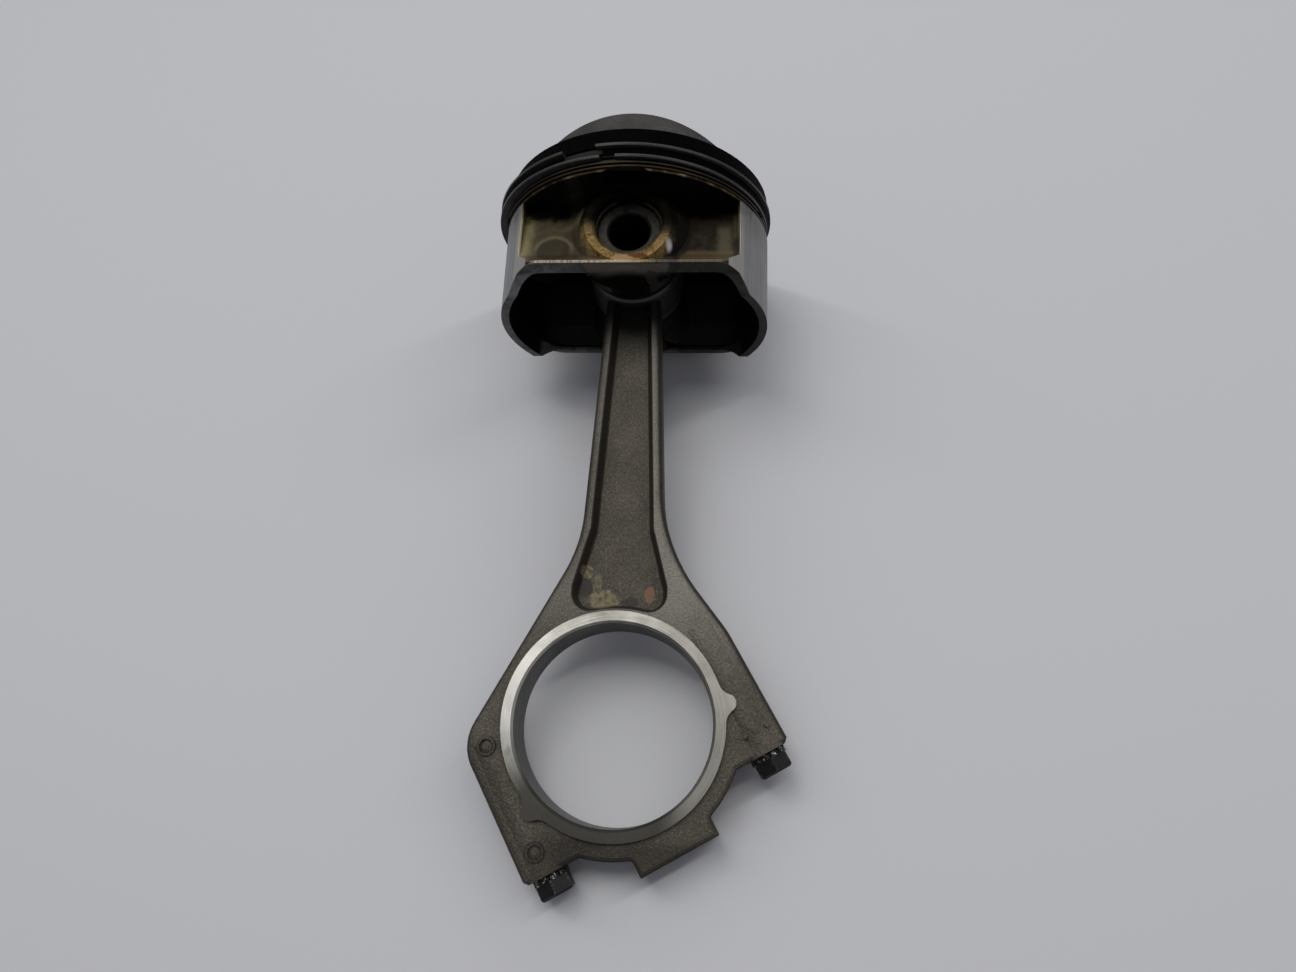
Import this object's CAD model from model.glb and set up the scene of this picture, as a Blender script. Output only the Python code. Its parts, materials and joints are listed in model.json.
import json
import math

import bpy
from mathutils import Euler, Matrix, Vector

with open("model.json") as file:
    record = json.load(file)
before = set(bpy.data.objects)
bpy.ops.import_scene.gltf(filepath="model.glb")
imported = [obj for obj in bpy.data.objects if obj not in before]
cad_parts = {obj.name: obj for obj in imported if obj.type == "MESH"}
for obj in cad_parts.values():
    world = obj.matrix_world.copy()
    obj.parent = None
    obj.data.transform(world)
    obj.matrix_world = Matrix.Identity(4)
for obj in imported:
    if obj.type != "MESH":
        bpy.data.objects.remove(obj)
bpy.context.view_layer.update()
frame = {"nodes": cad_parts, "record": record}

# A used engine piston on its connecting rod, lying on a pale bench.
# Lengths are in metres unless a name or comment says millimetres.

MM = 0.001

# --- The rod's own frame: x across it, y to the piston, z along both pins ---
mounts = {mount["name"]: mount for mount in frame["record"]["mounts"]}
crank_centre = Vector(mounts["crank_pin_bore"]["pos_m"])
pin_centre = Vector(mounts["cylinder"]["pos_m"])
out_of_rod = Vector(mounts["crank_pin_bore"]["axis"])
along_rod = Vector(mounts["cylinder"]["axis"])
across_rod = along_rod.cross(out_of_rod)
rod_turn = Matrix((across_rod, along_rod, out_of_rod)).transposed().to_euler()

# --- Sizes that the finishes follow, in millimetres ---
# On the rod, from the crank pin's centre.
BORE_RADIUS = mounts["crank_pin_bore"]["dims"]["r_mm"]
THRUST_HEIGHT = 8.5                 # middle of the rod to its thrust face
FORGING_HEIGHT = 7.1                # middle of the rod to its forged face
SPLIT_ANGLE = math.radians(30)      # the cap's joint is tilted
BOLT_REACH = 35.0
BOLT_SEAT = 27.6
ROD_MARK = 11.4                     # the blank ring marks, from the joint
CAP_MARK = -20.8
MARK_CREST = (2.1, 2.5)             # reaches from a mark's centre
MARK_DIRT = (1.3, 3.0)
FLANK_HEIGHTS = (3.0, 6.3)          # the beam's dark flanks, out from its middle
OILED_HEIGHTS = (112.0, 130.0)      # the skin turns black with oil between these, up the rod
# On the piston, from the wrist pin's centre.
CYLINDER_RADIUS = mounts["cylinder"]["dims"]["r_mm"]
CROWN_EDGE = 25.4
TOP_GAP = ((-19.5, -7.5), (16.6, 19.4))        # what shows between the ends of each ring
SECOND_GAP = ((-7.5, -1.0), (13.2, 15.4))
THIRD_LAND = (13.1, 14.1)
BELT_FOOT = 10.4
BELT_DEPTH = (36.0, 36.8)           # the belt's coats fade in between these reaches
PANEL_FOOT = -8.5
PANEL_REACH = 27.0
PANEL_SLOPE = 5.0 / 18.9            # how the panels lean in to the belt
LIP_HEIGHT = -14.0
LIP_REACH = 32.0
LIP_SLOPE = 5.0 / 4.6               # how they lean out to the lip
SKIRT_FOOT = -20.0
SKIRT_EDGE = (35.4, 36.4)           # the skirts' pale edges end between these, across the piston
BOSS_RADIUS = 15.4
BOSS_FACE = (24.5, 25.5)            # the bosses' soot begins between these, out from the middle
BOSS_FOOT_RADIUS = (19.0, 20.0)
BOSS_COLUMN = -17.0                 # where a boss runs up to the belt
CRESCENT_RADIUS = (14.2, 15.8)      # the gold crescent round a pin hole fades out between these
POOL = (-23.6, -7.4)                # a smooth dark pool of varnish on the upper panel
PIN_BORE = (6.6, 6.9)               # the pin's black bore gives way to its ground end between these
TURNING_PITCH = 0.32                # of the fine turned lines on the skirts


class Shade:
    """A socket of a material's nodes. Plain arithmetic on it adds the nodes that work it out."""

    def __init__(self, tree, socket):
        self.tree = tree
        self.socket = socket

    def make(self, kind, settings=None, inputs=None, output=0):
        """A new node of a kind, its settings first, then the values or links of its sockets."""
        node = self.tree.nodes.new(kind)
        for name, value in (settings or {}).items():
            setattr(node, name, value)
        for name, value in (inputs or {}).items():
            if isinstance(value, Shade):
                self.tree.links.new(value.socket, node.inputs[name])
            else:
                node.inputs[name].default_value = value
        return Shade(self.tree, node.outputs[output])

    def maths(self, operation, *others):
        return self.make("ShaderNodeMath", {"operation": operation}, dict(enumerate((self, *others))))

    def __add__(self, other):
        return self.maths("ADD", other)

    def __sub__(self, other):
        return self.maths("SUBTRACT", other)

    def __rsub__(self, other):
        return self * -1 + other

    def __mul__(self, other):
        return self.maths("MULTIPLY", other)

    def __truediv__(self, other):
        return self.maths("DIVIDE", other)

    def __pow__(self, other):
        return self.maths("POWER", other)

    def __abs__(self):
        return self.maths("ABSOLUTE")

    __radd__ = __add__
    __rmul__ = __mul__

    def larger(self, *others):
        """The largest of this and the others, which joins masks."""
        largest = self
        for other in others:
            largest = largest.maths("MAXIMUM", other)
        return largest

    def over(self, low, high):
        """A soft step: 0 where this is under low, 1 where it is over high."""
        return self.make(
            "ShaderNodeMapRange",
            {"interpolation_type": "SMOOTHSTEP"},
            {"Value": self, "From Min": low, "From Max": high},
        )

    def under(self, low, high):
        """A soft step down: 1 where this is under low, 0 where it is over high."""
        return 1 - self.over(low, high)

    def between(self, low, high, soft):
        """A soft window: 1 from low to high, with edges of a given softness."""
        return self.over(low - soft, low + soft) * self.under(high - soft, high + soft)

    def frayed(self, noise, amount):
        """This value moved up and down by noise, half of amount each way."""
        return self + (noise - 0.5) * amount

    def choose(self, where_zero, where_one):
        """One colour where this mask is 0 and another where it is 1."""
        return self.make(
            "ShaderNodeMix",
            {"data_type": "RGBA"},
            {0: self, 6: as_colour(where_zero), 7: as_colour(where_one)},
            output=2,
        )

    def ramp(self, *stops):
        """A colour that runs through stops, each a place from 0 to 1 and a colour."""
        shade = self.make("ShaderNodeValToRGB", inputs={0: self})
        elements = shade.socket.node.color_ramp.elements
        while len(elements) < len(stops):
            elements.new(1.0)
        for element, (place, colour) in zip(elements, stops):
            element.position = place
            element.color = as_colour(colour)
        return shade


def as_colour(value):
    """A colour of three numbers gets its fourth, and a socket stays as it is."""
    return value if isinstance(value, Shade) else (*value, 1.0)


def length(one_way, other_way):
    """The length of a step that goes so far one way and so far square to it."""
    return (one_way * one_way + other_way * other_way) ** 0.5


def coated(colour, *coats):
    """A colour with coats laid over it in turn, each a mask and its colour."""
    for mask, coat in coats:
        colour = mask.choose(colour, coat)
    return colour


class Finish:
    """A material in the making. Its coordinates are millimetres in the rod's frame, from an origin."""

    def __init__(self, name, origin):
        self.material = bpy.data.materials.new(name)
        self.material.use_nodes = True
        tree = self.material.node_tree
        self.shader = tree.nodes["Principled BSDF"]
        raw = Shade(tree, tree.nodes.new("ShaderNodeTexCoord").outputs["Object"])
        self.place = raw.make(
            "ShaderNodeMapping",
            {"vector_type": "TEXTURE"},
            {"Vector": raw, "Location": origin, "Rotation": rod_turn, "Scale": (MM, MM, MM)},
        )
        split = self.place.make("ShaderNodeSeparateXYZ", inputs={"Vector": self.place})
        outputs = split.socket.node.outputs
        self.x, self.y, self.z = (Shade(tree, outputs[axis]) for axis in "XYZ")

    def vector(self, x, y, z):
        """A point for a texture, from three values."""
        return self.place.make("ShaderNodeCombineXYZ", inputs={0: x, 1: y, 2: z})

    def noise(self, scale, detail=3.0, roughness=0.55, at=None, distortion=0.0):
        """Cloudy noise from 0 to 1, with about scale clouds to a millimetre."""
        return self.place.make(
            "ShaderNodeTexNoise",
            inputs={
                "Vector": at or self.place,
                "Scale": scale,
                "Detail": detail,
                "Roughness": roughness,
                "Distortion": distortion,
            },
        )

    def cells(self, scale):
        """Distance to the nearest of scattered points, about scale of them to a millimetre."""
        return self.place.make("ShaderNodeTexVoronoi", inputs={"Vector": self.place, "Scale": scale})

    def distance(self, centre, squat):
        """Distance in the rod's plane from a centre, with the upward part stretched by squat."""
        return length(self.x - centre[0], (self.y - centre[1]) * squat)

    def spot(self, centre, size, ragged):
        """An oval mark in the rod's plane, of a half-width and half-height, with ragged edges."""
        across = (self.x - centre[0]) / size[0]
        upward = (self.y - centre[1]) / size[1]
        return (across * across + upward * upward).frayed(ragged, 1.5).under(0.75, 1.15)

    def bump(self, height, strength, depth, under=None):
        """A normal that stands for a height of depth millimetres, over another normal if one is given."""
        inputs = {"Height": height, "Strength": strength, "Distance": depth * MM}
        if under:
            inputs["Normal"] = under
        return self.place.make("ShaderNodeBump", inputs=inputs)

    def apply(self, **sockets):
        """Sets or links the shader's sockets, named with _ for a space, and gives the material."""
        for name, value in sockets.items():
            socket = self.shader.inputs[name.replace("_", " ")]
            if isinstance(value, Shade):
                self.material.node_tree.links.new(value.socket, socket)
            else:
                socket.default_value = value
        return self.material


# --- The rod, its cap and their bolts ---
def joint_place(f):
    """How far a place lies along the cap's joint and square to it, from the crank pin's centre."""
    along = f.x * math.cos(SPLIT_ANGLE) + f.y * math.sin(SPLIT_ANGLE)
    depth = f.y * math.cos(SPLIT_ANGLE) - f.x * math.sin(SPLIT_ANGLE)
    return along, depth


def facing(f, reach, degrees):
    """How far a place on the rod lies towards an angle round the crank pin: 1 is straight that way."""
    angle = math.radians(degrees)
    return (f.x * math.cos(angle) + f.y * math.sin(angle)) / reach


def forging_skin(f, sand, blotch, height):
    """The blasted skin: dark and sandy, with pale flakes, rubbed rims and dirt in its corners."""
    skin = (sand * 0.72 + blotch * 0.28).ramp(
        (0.28, (0.024, 0.021, 0.016)),
        (0.46, (0.062, 0.054, 0.042)),
        (0.60, (0.108, 0.095, 0.075)),
        (0.78, (0.230, 0.205, 0.170)),
    )
    flakes = f.cells(2.3).under(0.10, 0.24) * f.noise(0.9).over(0.45, 0.6)
    skin = coated(skin, (flakes * 0.8, (0.42, 0.39, 0.33)))

    # Dirt lies round the crests of the blank marks.
    along, depth = joint_place(f)
    upper_face = f.z.over(FORGING_HEIGHT - 0.1, FORGING_HEIGHT + 0.1)
    for mark in (ROD_MARK, CAP_MARK):
        mark_reach = length(along + BOLT_REACH, depth - mark)
        dirt = mark_reach.between(*MARK_DIRT, 0.3) * (1 - mark_reach.between(*MARK_CREST, 0.1) * 0.7)
        skin = coated(skin, (dirt * upper_face * 0.6, (0.010, 0.009, 0.007)))

    # The beam's and bosses' rims are rubbed paler, the cap's foot is stained, and the flanks are dark.
    rims = height.over(FORGING_HEIGHT - 0.9, FORGING_HEIGHT - 0.2) * f.y.over(5.0, 40.0)
    rims = rims * (f.x.over(-2.0, 12.0) * 0.5 + 0.25)
    rubbed = (sand * 0.8 + blotch * 0.2).ramp((0.3, (0.12, 0.11, 0.09)), (0.7, (0.34, 0.32, 0.28)))
    stained = f.y.frayed(blotch, 8.0).under(-34.0, -29.0) * f.x.over(-22.0, -14.0)
    low, high = FLANK_HEIGHTS
    flanks = height.under(high - 0.3, high + 0.3) * height.over(low - 0.4, low + 0.4)
    return coated(
        skin,
        (rims * 0.9, rubbed),
        (stained * 0.55, (0.012, 0.010, 0.008)),
        (flanks * 0.72, (0.018, 0.015, 0.011)),
    )


def pocket_stains(f, height, ragged):
    """Coats of oil and sealer, dried in the foot of the beam's upper pocket."""
    foot = f.z.over(0.0, 1.0) * height.under(4.0, 6.0)
    pale = f.spot((-5.2, 36.6), (4.6, 3.2), ragged).larger(
        f.spot((-10.6, 45.2), (2.0, 2.1), ragged),
        f.spot((-7.3, 41.0), (1.5, 4.0), ragged) * 0.6,
    )
    sealer = f.noise(0.8).ramp(
        (0.35, (0.085, 0.078, 0.042)), (0.55, (0.19, 0.165, 0.10)), (0.75, (0.26, 0.19, 0.13))
    )
    rusty = f.spot((8.8, 38.4), (1.5, 2.6), ragged)
    murk = f.spot((2.8, 35.8), (2.8, 1.8), ragged).larger(f.spot((-11.2, 40.2), (2.6, 2.9), ragged))
    return (
        (pale * foot * 0.9, sealer),
        (rusty * foot * 0.8, (0.19, 0.115, 0.070)),
        (murk * foot * 0.6, (0.026, 0.024, 0.024)),
    )


def machined_steel(f, reach, turned, ragged):
    """Bright turned steel under a thin film of oil, with grime towards the foot of the cap."""
    film = f.noise(0.10, detail=5.0)
    steel = (turned * 0.45 + film * 0.55).ramp(
        (0.32, (0.14, 0.133, 0.114)), (0.50, (0.27, 0.260, 0.228)), (0.70, (0.46, 0.445, 0.40))
    )
    smudge = f.spot((-30.2, 4.6), (1.1, 2.4), ragged).larger(
        f.spot((-29.6, -9.0), (0.8, 1.6), ragged) * 0.6
    )
    dull = (f.x * 0.6 - f.y).frayed(film, 24.0).over(-4.0, 22.0)
    gleam = facing(f, reach, 160).frayed(film, 0.2).over(0.80, 0.97)
    shade = facing(f, reach, 55).over(0.85, 1.0)
    grime = facing(f, reach, 258).frayed(film, 0.3).over(0.50, 0.78)
    steel = coated(
        steel,
        (smudge * 0.5, (0.13, 0.12, 0.105)),
        (dull * 0.6, (0.150, 0.143, 0.125)),
        (gleam * 0.55, (0.68, 0.66, 0.61)),
        (shade * 0.35, (0.130, 0.124, 0.108)),
        (grime * 0.85, (0.034, 0.031, 0.026)),
    )
    bore_wall = (turned * 0.5 + film * 0.5).ramp(
        (0.35, (0.030, 0.029, 0.025)), (0.7, (0.115, 0.113, 0.104))
    )
    return steel, bore_wall


def forged_steel(name):
    """Blasted forging, with the machined faces and bore left bright."""
    f = Finish(name, crank_centre)
    reach = length(f.x, f.y)
    angle = f.y.maths("ARCTAN2", f.x)
    height = abs(f.z)
    sand = f.noise(1.7, detail=5.0, roughness=0.72)
    blotch = f.noise(0.07, detail=4.0)
    ragged = f.noise(0.45, detail=4.0)
    turned = f.noise(1.0, at=f.vector(reach * 4.0, angle * 2.5, f.z * 4.0))

    # The small end and the top of the beam are black with oil from the piston.
    oiled = f.y.frayed(blotch, 10.0).over(*OILED_HEIGHTS)
    skin = coated(
        forging_skin(f, sand, blotch, height),
        (oiled * 0.88, (0.0060, 0.0052, 0.0040)),
        *pocket_stains(f, height, ragged),
    )

    # Machined: the thrust rings, the small end's faces, and the crank-pin bore with its mouth.
    faced = height.over(THRUST_HEIGHT - 0.12, THRUST_HEIGHT - 0.04)
    bored = reach.under(BORE_RADIUS + 0.05, BORE_RADIUS + 0.12)
    mouth = reach.under(BORE_RADIUS + 0.85, BORE_RADIUS + 0.95)
    mouth = mouth * height.over(THRUST_HEIGHT - 0.9, THRUST_HEIGHT - 0.75)
    machined = faced.larger(bored, mouth)
    steel, bore_wall = machined_steel(f, reach, turned, ragged)
    colour = machined.choose(skin, bored.choose(steel, bore_wall))
    colour = coated(colour, (oiled * machined * 0.8, (0.012, 0.011, 0.009)))

    grain = f.bump((sand * 0.7 + f.cells(1.2) * 0.5) * (1 - machined), 0.85, 0.28)
    return f.apply(
        Base_Color=colour,
        Specular_IOR_Level=0.25,
        Metallic=machined * 0.35 + 0.5,
        Roughness=machined * -0.2 + 0.56 + sand * 0.08,
        Normal=f.bump(turned * machined, 0.15, 0.03, under=grain),
    )


def black_oxide(name, side):
    """A bolt's black finish, rubbed bright on its serrations and corners. Its side is -1 or 1."""
    f = Finish(name, crank_centre)
    along, depth = joint_place(f)
    reach = length(along - side * BOLT_REACH, f.z)
    rub = f.noise(1.6)
    serrations = depth.between(-BOLT_SEAT - 1.75, -BOLT_SEAT - 0.05, 0.1) * reach.over(5.1, 5.35)
    worn = serrations * rub.over(0.48, 0.60)
    corners = reach.over(5.2, 5.5) * rub.over(0.50, 0.66) * (1 - serrations)
    oxide = f.noise(0.5).ramp((0.3, (0.003, 0.003, 0.003)), (0.8, (0.010, 0.0095, 0.0095)))
    return f.apply(
        Base_Color=coated(oxide, (worn.larger(corners * 0.3), (0.30, 0.295, 0.28))),
        Specular_IOR_Level=0.3,
        Metallic=worn * 0.6 + 0.3,
        Roughness=rub * 0.2 + 0.28,
        Normal=f.bump(f.noise(2.5, detail=2.0), 0.2, 0.05),
    )


# --- The piston ---
class PistonFinish(Finish):
    """The piston's material in the making, with the noises and the masks that its coats share."""

    def __init__(self, name):
        super().__init__(name, pin_centre)
        self.reach = length(self.x, self.z)             # from the piston's axis
        self.hole_reach = length(self.x, self.y)        # from the wrist pin's axis
        self.out = abs(self.z)
        self.upper = self.z.over(-1.0, 1.0)
        self.fine = self.noise(1.5, detail=5.0, roughness=0.65)
        self.cloud = self.noise(0.09, detail=5.0, roughness=0.6)
        self.patch = self.noise(0.24, detail=4.0, distortion=0.6)
        self.ragged = self.noise(0.45, detail=4.0)
        streaks = self.vector(self.x * 1.8, self.y * 0.04, self.z * 1.8)
        self.scuff = self.noise(1.0, detail=4.0, roughness=0.7, at=streaks)
        self.mask_panels()
        self.mask_bosses_and_lip()
        self.mask_skirts_and_belt()

    def mask_panels(self):
        """The panels' outer faces, a boss's run up to the belt, and where the varnish is burnt."""
        above_foot = (self.y - PANEL_FOOT).larger(0.0)
        below_foot = (PANEL_FOOT - self.y).larger(0.0)
        panel_reach = self.out + above_foot * PANEL_SLOPE - below_foot * LIP_SLOPE
        self.outside = panel_reach.over(PANEL_REACH - 1.3, PANEL_REACH - 0.7)
        self.column = (self.x - BOSS_COLUMN).between(-2.2, 2.2, 1.4) * self.y.under(9.0, 11.0)
        burnt = self.y.frayed(self.patch, 9.0).frayed(self.ragged, 3.0).over(3.8, 8.4)
        self.burnt = burnt * (1 - self.column * 0.6)

    def mask_bosses_and_lip(self):
        """The soot, gold crescent and glint round a pin hole, the boss's foot and the lip's bright line."""
        boss = self.hole_reach.under(BOSS_RADIUS - 0.1, BOSS_RADIUS + 0.5) * self.out.over(*BOSS_FACE)
        self.sooty = boss * self.y.frayed(self.ragged, 4.0).over(-4.0, 2.0)
        crescent = self.hole_reach.frayed(self.ragged, 1.6).under(*CRESCENT_RADIUS)
        crescent = crescent * self.out.over(LIP_REACH - 3.6, LIP_REACH - 2.4)
        self.crescent = crescent * (self.y + self.x * 0.15).frayed(self.ragged, 4.0).under(-8.5, 1.5)
        glint = self.distance((12.9, -7.2), 0.5).under(0.1, 1.3)
        self.glint = glint * self.out.over(LIP_REACH - 3.8, LIP_REACH - 2.6) * self.upper
        boss_foot = self.y.under(LIP_HEIGHT - 0.15, LIP_HEIGHT - 0.05)
        self.boss_foot = boss_foot * self.hole_reach.under(*BOSS_FOOT_RADIUS)
        line = self.out.over(LIP_REACH - 0.5, LIP_REACH - 0.1)
        line = line * (self.y - LIP_HEIGHT).between(-0.4, 0.95, 0.15)
        self.line = line * (self.x.under(-4.0, 12.0) * 0.7 + 0.3)

    def mask_skirts_and_belt(self):
        """The skirts, the ring belt, its foot, and what shows in the gaps of the two upper rings."""
        skirted = self.reach.over(CYLINDER_RADIUS - 0.25, CYLINDER_RADIUS - 0.1)
        skirted = skirted * self.y.under(BELT_FOOT - 0.3, BELT_FOOT)
        self.skirted = skirted * self.y.over(SKIRT_FOOT, SKIRT_FOOT + 0.1)
        on_belt = self.y.over(BELT_FOOT - 0.05, BELT_FOOT + 0.05) * self.reach.over(*BELT_DEPTH)
        self.on_belt = on_belt * self.y.under(CROWN_EDGE - 0.1, CROWN_EDGE + 0.2)
        foot_line = self.y.under(BELT_FOOT + 0.65, BELT_FOOT + 0.85)
        foot_line = foot_line * self.y.over(BELT_FOOT - 0.04, BELT_FOOT)
        self.foot_line = foot_line * self.reach.over(CYLINDER_RADIUS - 0.7, CYLINDER_RADIUS - 0.5)
        self.top_gap, self.second_gap = (
            self.y.between(*heights, 0.1) * self.x.between(*ends, 0.5) * self.z.over(30.0, 32.0)
            for ends, heights in (TOP_GAP, SECOND_GAP)
        )


def panel_varnish(f):
    """Oil varnish in olive, brown and tan, which runs to black under the belt."""
    varnish = (f.patch * 0.5 + f.cloud * 0.25 + f.fine * 0.25).ramp(
        (0.34, (0.038, 0.030, 0.017)),
        (0.46, (0.062, 0.049, 0.027)),
        (0.56, (0.086, 0.070, 0.038)),
        (0.68, (0.125, 0.105, 0.060)),
    )
    umber = (f.patch * 0.5 + f.fine * 0.5).ramp(
        (0.35, (0.006, 0.0045, 0.003)), (0.65, (0.030, 0.022, 0.014))
    )
    across = f.x.frayed(f.ragged, 3.0)
    olive = (-1 * f.x).frayed(f.ragged, 3.0).over(29.0, 35.5)
    brown = across.between(-20.5, -15.0, 1.0) * f.y.under(0.0, 3.0)
    greenish = across.between(27.6, 31.8, 1.2) * f.y.under(1.0, 5.0)
    tanned = across.over(15.0, 17.0) * f.y.frayed(f.ragged, 2.0).under(-8.0, -6.2)
    # A tide line arches over the pool on the left of the upper panel.
    pool_reach = f.distance(POOL, 0.92).frayed(f.ragged, 1.2)
    pool = pool_reach.under(4.6, 5.6) * f.upper
    tide = pool_reach.between(5.5, 6.5, 0.3) * f.y.over(-8.0, -5.0) * f.upper
    drift = pool_reach.between(6.9, 8.6, 0.5) * f.y.over(-6.0, -3.0) * f.upper * f.patch.over(0.35, 0.6)
    mustard = f.spot((-33.6, 6.0), (1.9, 1.6), f.ragged)
    flare = f.hole_reach.under(18.6, 20.4) * (f.y + f.x * 0.25).over(-7.5, -3.0) * f.x.over(-13.0, 2.0)
    left_edge = (-1 * f.x).frayed(f.ragged, 1.0).over(32.4, 33.6) * f.y.under(7.0, 10.0)
    right_edge = f.x.frayed(f.ragged, 1.0).over(32.0, 33.0) * f.y.under(7.0, 10.0)
    rust = f.y.frayed(f.ragged, 3.0).over(-3.5, -0.5).choose((0.020, 0.013, 0.009), (0.058, 0.050, 0.024))
    return coated(
        varnish,
        (f.x.frayed(f.ragged, 4.0).over(4.0, 14.0), umber),
        (olive * 0.8, (0.300, 0.258, 0.140)),
        (brown * 0.7, (0.040, 0.028, 0.017)),
        (greenish * 0.75, (0.080, 0.072, 0.042)),
        (tanned * 0.8, (0.080, 0.058, 0.028)),
        (pool * 0.8, (0.026, 0.022, 0.013)),
        (tide * 0.75, (0.120, 0.096, 0.058)),
        (drift * 0.6, (0.040, 0.031, 0.018)),
        (mustard * 0.8, (0.125, 0.105, 0.035)),
        (f.burnt * 0.95, (0.0062, 0.0056, 0.0042)),
        (flare * 0.85, (0.006, 0.005, 0.0035)),
        (left_edge * 0.5, (0.130, 0.105, 0.040)),
        (right_edge * 0.8, rust),
        (f.column * f.y.over(1.0, 3.0) * 0.7, (0.095, 0.086, 0.052)),
    )


def boss_coats(f):
    """Each pin boss is sooty above its hole, and gold and copper round the lower half."""
    soot = (f.fine * 0.6 + f.patch * 0.4).ramp(
        (0.35, (0.003, 0.0026, 0.002)), (0.7, (0.016, 0.014, 0.010))
    )
    gold = (f.patch * 0.4 + f.fine * 0.6).ramp(
        (0.38, (0.050, 0.024, 0.007)), (0.50, (0.160, 0.102, 0.032)), (0.62, (0.300, 0.205, 0.080))
    )
    copper = f.spot((-1.5, -12.6), (3.2, 1.3), f.ragged) * f.out.over(LIP_REACH - 1.0, LIP_REACH - 0.3)
    scorch = f.spot((3.6, -11.6), (3.0, 0.9), f.ragged) * f.out.over(LIP_REACH - 1.4, LIP_REACH - 0.6)
    return (
        (f.sooty, soot),
        (f.crescent, gold),
        (copper * 0.8, (0.25, 0.150, 0.070)),
        (scorch * 0.85, (0.055, 0.020, 0.005)),
        (f.glint, (0.85, 0.80, 0.80)),
    )


def lip_coats(f):
    """The lip's and skirts' lower faces are dull grey, with a bright dotted line along the lip's edge."""
    under_lip = f.y.over(LIP_HEIGHT - 2.6, LIP_HEIGHT - 0.3) * f.out.over(24.0, 29.0)
    grime = under_lip.choose((0.0045, 0.0040, 0.0030), (0.160, 0.140, 0.120))
    pale = f.spot((7.5, -16.0), (2.0, 1.4), f.ragged) * f.boss_foot
    grey = (f.patch * 0.6 + f.fine * 0.4).ramp(
        (0.35, (0.015, 0.0145, 0.011)), (0.68, (0.040, 0.039, 0.034))
    )
    bluish = f.x.frayed(f.ragged, 6.0).under(-22.0, -14.0) * f.patch.over(0.36, 0.56)
    grey = coated(
        grey,
        (f.x.under(-2.0, 14.0) * 0.6, (0.075, 0.070, 0.064)),
        (bluish * 0.8, (0.125, 0.128, 0.134)),
    )
    lip_face = f.y.under(LIP_HEIGHT + 0.04, LIP_HEIGHT + 0.12) * (1 - f.boss_foot) * f.out.over(20.0, 22.0)
    skirt_face = f.y.under(SKIRT_FOOT + 0.04, SKIRT_FOOT + 0.12)
    dots = f.noise(1.1, detail=2.0, at=f.vector(f.x, 0.0, 0.0)).over(0.40, 0.56)
    return (
        (f.boss_foot, grime),
        (pale * 0.6, (0.045, 0.040, 0.036)),
        (lip_face, grey),
        (skirt_face, grey),
        (f.line * (dots * 0.75 + 0.25), (0.17, 0.15, 0.12)),
    )


def skirt_coats(f):
    """The skirts are bare alloy rubbed to a sheen, with a paler edge beside the panels."""
    alloy = (f.scuff * 0.75 + f.cloud * 0.25).ramp(
        (0.30, (0.15, 0.15, 0.15)), (0.5, (0.215, 0.215, 0.215)), (0.7, (0.30, 0.30, 0.305))
    )
    alloy = coated(
        alloy,
        (abs(f.x).under(*SKIRT_EDGE) * 0.5, (0.40, 0.38, 0.33)),
        (f.y.over(-4.0, 9.0) * 0.55, (0.10, 0.095, 0.085)),
    )
    return ((f.skirted, alloy),)


def belt_coats(f):
    """The ring belt has tan varnish on its foot and black carbon above, under a crown of grey ash."""
    carbon = (f.fine * 0.6 + f.patch * 0.4).ramp(
        (0.3, (0.0012, 0.0012, 0.0014)), (0.6, (0.0035, 0.0034, 0.0033)), (0.8, (0.010, 0.0095, 0.0085))
    )
    tan = (f.ragged * 0.5 + f.patch * 0.5).ramp(
        (0.38, (0.016, 0.011, 0.006)), (0.52, (0.085, 0.060, 0.028)), (0.68, (0.26, 0.22, 0.15))
    )
    chipped = f.spot((-2.2, BELT_FOOT + 0.6), (2.2, 1.0), f.ragged) * f.foot_line * f.upper
    third_land = f.y.between(*THIRD_LAND, 0.1) * f.on_belt * f.x.under(-6.0, 4.0)
    ash = (f.fine * 0.45 + f.cloud * 0.55).ramp(
        (0.32, (0.052, 0.049, 0.045)), (0.52, (0.088, 0.084, 0.077)), (0.72, (0.135, 0.130, 0.120))
    )
    return (
        (f.on_belt, carbon),
        (f.foot_line, tan),
        (chipped * 0.9, (0.60, 0.56, 0.48)),
        (third_land * f.patch.over(0.4, 0.6) * 0.5, (0.075, 0.068, 0.055)),
        (f.top_gap, (0.032, 0.031, 0.028)),
        (f.second_gap, (0.060, 0.050, 0.036)),
        (f.y.over(CROWN_EDGE - 0.1, CROWN_EDGE + 0.2), ash),
    )


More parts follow.
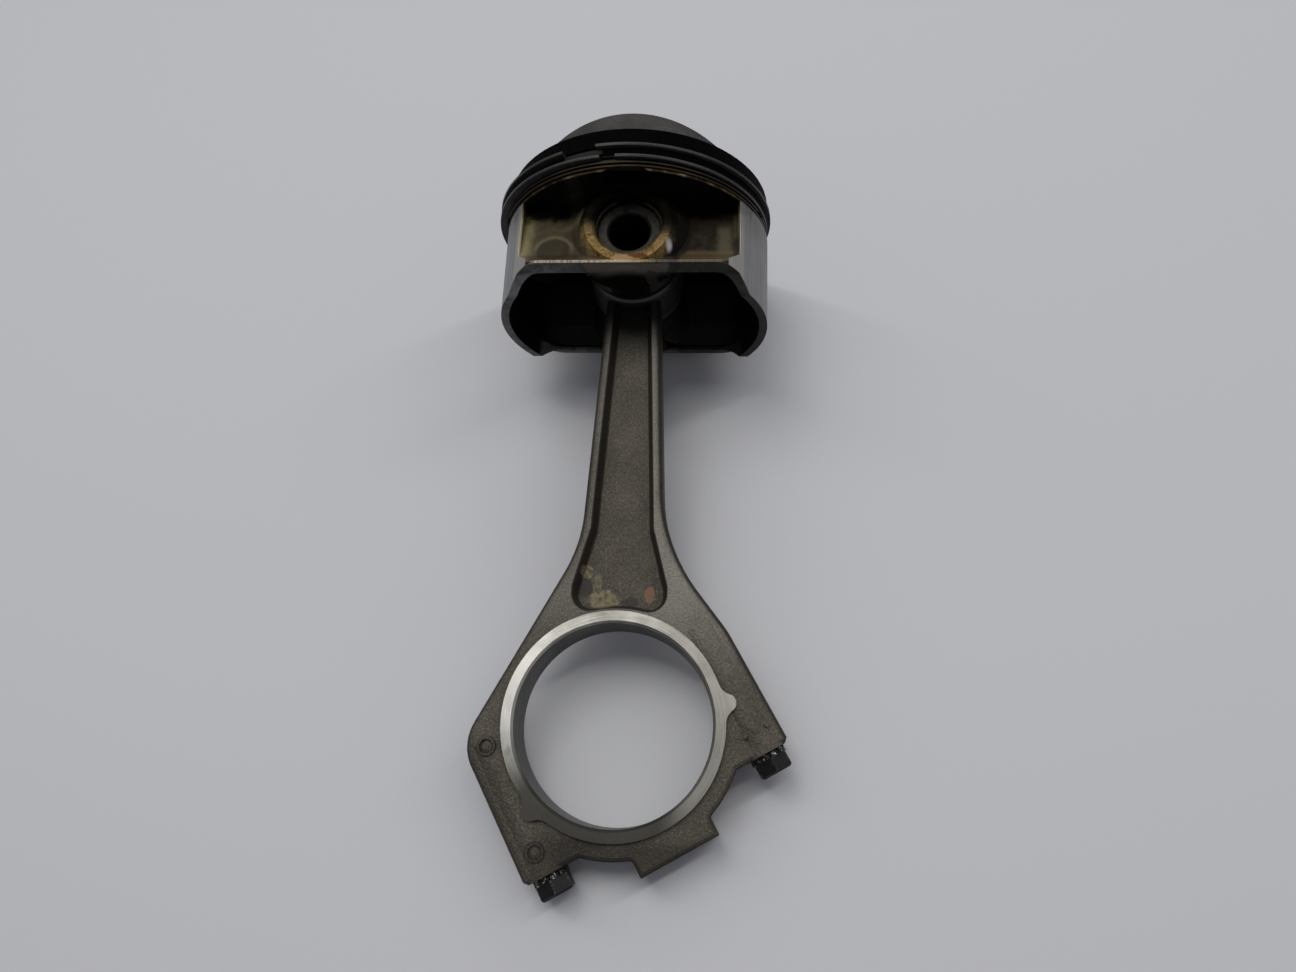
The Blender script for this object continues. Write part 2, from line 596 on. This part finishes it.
def piston_alloy(name):
    """Cast alloy: carbon on the crown and lands, varnish below, rubbed skirts and an oily hollow."""
    f = PistonFinish(name)
    # The hollow is black with oil, and so is everything that no other coat covers.
    hollow = (f.patch * 0.6 + f.fine * 0.4).ramp(
        (0.32, (0.0018, 0.0016, 0.0013)), (0.55, (0.0040, 0.0036, 0.0028)), (0.78, (0.014, 0.012, 0.008))
    )
    colour = coated(
        hollow, (f.outside, panel_varnish(f)), *boss_coats(f), *lip_coats(f), *skirt_coats(f), *belt_coats(f)
    )
    bare = (f.skirted * f.scuff.over(0.30, 0.6)).larger(f.glint, f.line)
    stained_belt = f.foot_line.larger(f.top_gap, f.second_gap)
    black = (f.on_belt * (1 - stained_belt)).larger(f.sooty, f.boss_foot, f.burnt * f.outside * 0.9)
    turning = (f.y * (2 * math.pi / TURNING_PITCH)).maths("SINE") * f.skirted
    grain = f.bump(f.fine * (1 - f.skirted) * 0.6 + f.cloud * 0.4, 0.45, 0.28)
    return f.apply(
        Base_Color=colour,
        Metallic=(bare * 0.55 + 0.2 + f.crescent * 0.2).larger(black),
        Specular_IOR_Level=0.12,
        Roughness=0.46 - bare * 0.12 + f.fine * 0.12 + black * 0.3,
        Normal=f.bump(turning, 0.2, 0.02, under=grain),
    )


# --- The rings, pin, bushing and clips ---
def ring_steel(name, tones, shift, radius, oval, low, height):
    """An oval ring's dull faces, and the bright line along its lower corner, in two tones."""
    dark, bright = tones
    f = Finish(name, pin_centre + (across_rod * shift[0] + out_of_rod * shift[1]) * MM)
    reach = length(f.x, f.z * (radius / (radius - oval)))
    bearing = f.z.maths("ARCTAN2", f.x)
    soot = f.noise(0.6, detail=4.0)
    streak = f.noise(1.0, at=f.vector(bearing * 12.0, f.y * 5.0, 0.0))
    corner = reach.over(radius - 0.22, radius - 0.10) * f.y.under(low + 0.45 * height, low + 0.62 * height)
    edge = corner * streak.over(0.25, 0.55)
    face = reach.over(radius - 0.10, radius - 0.03) * (1 - corner)
    dull = (soot * 0.5 + streak * 0.5).ramp((0.35, dark), (0.7, tuple(2.6 * part for part in dark)))
    return f.apply(
        Base_Color=coated(
            dull,
            (face * 0.5, tuple(3.0 * part for part in dark)),
            (edge * (soot * 1.6 - 0.2), bright),
        ),
        Metallic=edge * 0.4 + 0.35,
        Specular_IOR_Level=0.15,
        Roughness=0.52 - edge * 0.2,
        Normal=f.bump(streak, 0.15, 0.03),
    )


def pin_steel(name):
    """Ground pin steel, dulled by oil, with a black bore."""
    f = Finish(name, pin_centre)
    film = f.noise(0.5, detail=4.0)
    bore = length(f.x, f.y).under(*PIN_BORE)
    ground = film.ramp((0.3, (0.008, 0.0075, 0.0055)), (0.7, (0.030, 0.028, 0.022)))
    scratches = f.noise(1.0, at=f.vector(f.x * 0.5, f.y * 0.5, f.z * 6.0))
    return f.apply(
        Base_Color=coated(ground, (bore, (0.0012, 0.0011, 0.0010))),
        Metallic=0.6 - bore * 0.5,
        Specular_IOR_Level=0.15,
        Roughness=film * 0.15 + 0.36 + bore * 0.3,
        Normal=f.bump(scratches, 0.1, 0.02),
    )


def bronze(name):
    """The small end's bushing, under a film of oil."""
    f = Finish(name, pin_centre)
    film = f.noise(0.6, detail=4.0)
    return f.apply(
        Base_Color=film.ramp((0.3, (0.030, 0.018, 0.008)), (0.7, (0.14, 0.09, 0.042))),
        Metallic=0.9,
        Roughness=film * 0.2 + 0.35,
        Normal=f.bump(film, 0.1, 0.05),
    )


def clip_steel(name):
    """A wire clip, blued and browned by heat."""
    f = Finish(name, pin_centre)
    film = f.noise(0.9)
    heated = film.ramp(
        (0.3, (0.006, 0.005, 0.0036)), (0.6, (0.020, 0.015, 0.009)), (0.8, (0.055, 0.041, 0.024))
    )
    return f.apply(
        Base_Color=heated,
        Specular_IOR_Level=0.2,
        Metallic=0.6,
        Roughness=film * 0.2 + 0.4,
        Normal=f.bump(film, 0.1, 0.05),
    )


# --- Every piece gets its finish ---
def wear(node, material):
    """A CAD node gets one material."""
    mesh = frame["nodes"][node].data
    mesh.materials.clear()
    mesh.materials.append(material)


wear("connecting_rod", forged_steel("forged_rod"))
wear("rod_cap", forged_steel("forged_cap"))
wear("rod_bolt_left", black_oxide("black_oxide_left", -1))
wear("rod_bolt_right", black_oxide("black_oxide_right", 1))
wear("piston", piston_alloy("piston_alloy"))
wear("wrist_pin", pin_steel("pin_steel"))
wear("small_end_bushing", bronze("bushing_bronze"))
for clip in ("pin_circlip_upper", "pin_circlip_lower"):
    wear(clip, clip_steel(clip + "_steel"))
# Each ring's dark and bright tones, its centre off the piston's axis, its radius and how oval it is,
# its lower face and its height.
SPRUNG_TONES = ((0.020, 0.019, 0.018), (0.040, 0.038, 0.035))
OILY_TONES = ((0.007, 0.0055, 0.0032), (0.042, 0.031, 0.015))
OIL_SHIFT = (-0.4, 0.3)
RINGS = {
    "top_compression_ring": (SPRUNG_TONES, (-1.0, 0.7), 45.9, 1.5, 18.25, 1.1),
    "second_compression_ring": (SPRUNG_TONES, (-1.5, 0.6), 45.4, 0.8, 14.15, 1.1),
    "oil_ring_upper_rail": (OILY_TONES, OIL_SHIFT, 44.2, 0.0, 12.6, 0.45),
    "oil_ring_expander": (OILY_TONES, OIL_SHIFT, 43.3, 0.0, 11.7, 0.9),
    "oil_ring_lower_rail": (OILY_TONES, OIL_SHIFT, 44.2, 0.0, 11.25, 0.45),
}
for ring, description in RINGS.items():
    wear(ring, ring_steel(ring + "_steel", *description))

# --- Bench, lights and camera ---
FLOOR_SIZE = 6.0
FLOOR_COLOUR = (0.50, 0.50, 0.51)
ROOM_COLOUR = (0.9, 0.92, 1.0)
ROOM_STRENGTH = 0.32
CAMERA_PLACE = (0.04297, -0.13945, 0.29643)
CAMERA_TURN = (27.985, 6.559, 2.985)      # degrees
CAMERA_LENS = 27.0                        # millimetres, as is the sensor
CAMERA_SENSOR = 36.0

bpy.ops.object.select_all(action="DESELECT")
bpy.ops.mesh.primitive_plane_add(size=FLOOR_SIZE, location=(0, 0, 0))
bench = bpy.context.object
bench.name = "bench"
bench_paper = bpy.data.materials.new("bench_paper")
bench_paper.use_nodes = True
paper = bench_paper.node_tree.nodes["Principled BSDF"]
paper.inputs["Base Color"].default_value = as_colour(FLOOR_COLOUR)
paper.inputs["Roughness"].default_value = 0.6
paper.inputs["Specular IOR Level"].default_value = 0.25
bench.data.materials.append(bench_paper)


def soft_lamp(name, place, width, height, power):
    """A soft rectangular lamp that faces the middle of the bench."""
    lamp = bpy.data.lights.new(name, "AREA")
    lamp.shape = "RECTANGLE"
    lamp.size = width
    lamp.size_y = height
    lamp.energy = power
    holder = bpy.data.objects.new(name, lamp)
    holder.location = place
    holder.rotation_euler = (-Vector(place)).to_track_quat("-Z", "Y").to_euler()
    bpy.context.scene.collection.objects.link(holder)


soft_lamp("lamp_left", (-0.58, 0.30, 1.25), 0.10, 1.6, 4.2)
soft_lamp("lamp_right", (0.58, 0.30, 1.25), 0.10, 1.6, 5.7)
soft_lamp("lamp_over", (-0.28, 0.42, 1.40), 0.55, 0.80, 5.0)
soft_lamp("lamp_back", (0.1, 1.5, 0.9), 1.4, 0.5, 3.0)

world = bpy.data.worlds.new("room")
world.use_nodes = True
world.node_tree.nodes["Background"].inputs["Color"].default_value = as_colour(ROOM_COLOUR)
world.node_tree.nodes["Background"].inputs["Strength"].default_value = ROOM_STRENGTH
bpy.context.scene.world = world

camera_data = bpy.data.cameras.new("camera")
camera_data.sensor_width = CAMERA_SENSOR
camera_data.lens = CAMERA_LENS
camera = bpy.data.objects.new("camera", camera_data)
camera.location = CAMERA_PLACE
camera.rotation_euler = Euler([math.radians(angle) for angle in CAMERA_TURN])
bpy.context.scene.collection.objects.link(camera)
bpy.context.scene.camera = camera
bpy.context.scene.view_settings.view_transform = "Standard"

bpy.context.view_layer.update()
